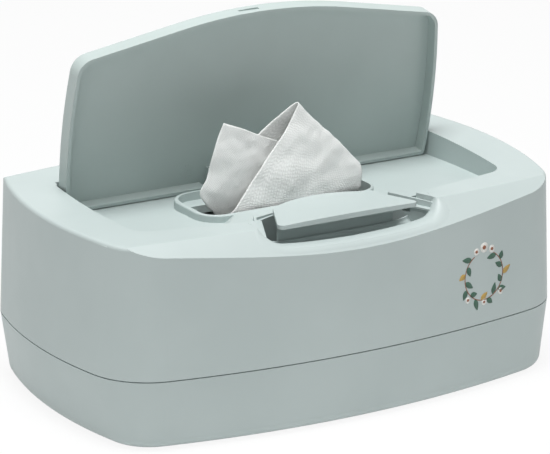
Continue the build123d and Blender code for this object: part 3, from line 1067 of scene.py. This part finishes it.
@dataclass
class Studio:
    """Camera, lamps, world and floor."""

    lens: float = 203.55
    yaw: float = 30.347
    elevation: float = 17.758
    roll: float = 0.128
    distance: float = 1.4499
    target: Point = (-0.000456, 0.0, 0.069214)
    lamps: tuple[Lamp, ...] = (Lamp("top softbox", (-0.15, -0.16, 1.5), (0, 0, 0.08), 0.55, 22.0),
                               Lamp("front fill", (-0.9, -1.5, 0.7), (0, 0, 0.05), 1.2, 1.6))

    def build_camera(self) -> None:
        """Make the camera at the photograph's viewing angle."""
        yaw, rise, roll = (math.radians(a) for a in (self.yaw, self.elevation, self.roll))
        ahead = Vector((math.sin(yaw) * math.cos(rise), math.cos(yaw) * math.cos(rise), -math.sin(rise)))
        right = Vector((math.cos(yaw), -math.sin(yaw), 0))
        up = right.cross(ahead)
        side = right * math.cos(roll) + up * math.sin(roll)
        top = up * math.cos(roll) - right * math.sin(roll)
        data = bpy.data.cameras.new("camera")
        data.lens, data.sensor_width = self.lens, 36.0
        data.clip_start, data.clip_end = 0.05, 50.0
        camera = bpy.data.objects.new("camera", data)
        turn = Matrix((side, top, -ahead)).transposed().to_4x4()
        camera.matrix_world = Matrix.Translation(Vector(self.target) - ahead * self.distance) @ turn
        bpy.context.scene.collection.objects.link(camera)
        bpy.context.scene.camera = camera

    def white_to_camera(self, tree: bpy.types.NodeTree) -> bpy.types.NodeSocket:
        """Mask that is 1 for camera, glossy and transmission rays.

        Args:
            tree: Tree that gets the nodes.

        Returns:
            The mask's socket.
        """
        path = tree.nodes.new("ShaderNodeLightPath")
        mask = path.outputs["Is Camera Ray"]
        for label in ("Is Glossy Ray", "Is Transmission Ray"):
            most = tree.nodes.new("ShaderNodeMath")
            most.operation = "MAXIMUM"
            tree.links.new(mask, most.inputs[0])
            tree.links.new(path.outputs[label], most.inputs[1])
            mask = most.outputs["Value"]
        return mask

    def build_world(self, ambient: float = 0.27) -> None:
        """Make the world: white behind the object and a dim even light on it.

        Args:
            ambient: Strength of the light that it gives.
        """
        world = bpy.data.worlds.new("studio")
        world.use_nodes = True
        bpy.context.scene.world = world
        tree = world.node_tree
        shader = tree.nodes["Background"]
        shader.inputs["Color"].default_value = (1.0, 1.0, 1.0, 1.0)
        strength = tree.nodes.new("ShaderNodeMapRange")
        strength.inputs["To Min"].default_value = ambient
        strength.inputs["To Max"].default_value = 1.0
        tree.links.new(self.white_to_camera(tree), strength.inputs["Value"])
        tree.links.new(strength.outputs["Result"], shader.inputs["Strength"])

    def build_floor(self, whiteness: float = 0.9) -> None:
        """Make the pale floor, which keeps a faint shadow.

        Args:
            whiteness: Share of plain white that the camera sees in it.
        """
        bm = bmesh.new()
        bmesh.ops.create_grid(bm, x_segments=4, y_segments=4, size=6.0)
        mesh = bpy.data.meshes.new("floor")
        bm.to_mesh(mesh)
        bm.free()
        floor = bpy.data.objects.new("floor", mesh)
        bpy.context.scene.collection.objects.link(floor)
        material, shader = empty_material("pale floor")
        tree = material.node_tree
        shader.inputs["Base Color"].default_value = (0.86, 0.87, 0.87, 1.0)
        shader.inputs["Roughness"].default_value = 0.9
        shader.inputs["Specular IOR Level"].default_value = 0.0
        white = tree.nodes.new("ShaderNodeEmission")
        mix = tree.nodes.new("ShaderNodeMixShader")
        share = tree.nodes.new("ShaderNodeMath")
        share.operation = "MULTIPLY"
        share.inputs[1].default_value = whiteness
        tree.links.new(self.white_to_camera(tree), share.inputs[0])
        tree.links.new(share.outputs["Value"], mix.inputs["Fac"])
        tree.links.new(shader.outputs["BSDF"], mix.inputs[1])
        tree.links.new(white.outputs["Emission"], mix.inputs[2])
        tree.links.new(mix.outputs["Shader"], tree.nodes["Material Output"].inputs["Surface"])
        dress(floor, material)

    def build(self) -> None:
        """Set the whole studio up."""
        bpy.context.scene.view_settings.view_transform = "Standard"
        self.build_camera()
        for lamp in self.lamps:
            lamp.build()
        self.build_world()
        self.build_floor()


def main() -> None:
    """Build every sub-assembly in order."""
    logging.basicConfig(level=logging.INFO, format="%(message)s")
    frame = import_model()
    MouldedShell(frame).dress_nodes()
    WipesStack().build()
    TopWipe().build()
    LidMarks().build()
    ScoopTrim().build()
    PrintedWreath(frame["nodes"]["upper_casing"]).build()
    Studio().build()


if __name__ == "__main__":
    main()
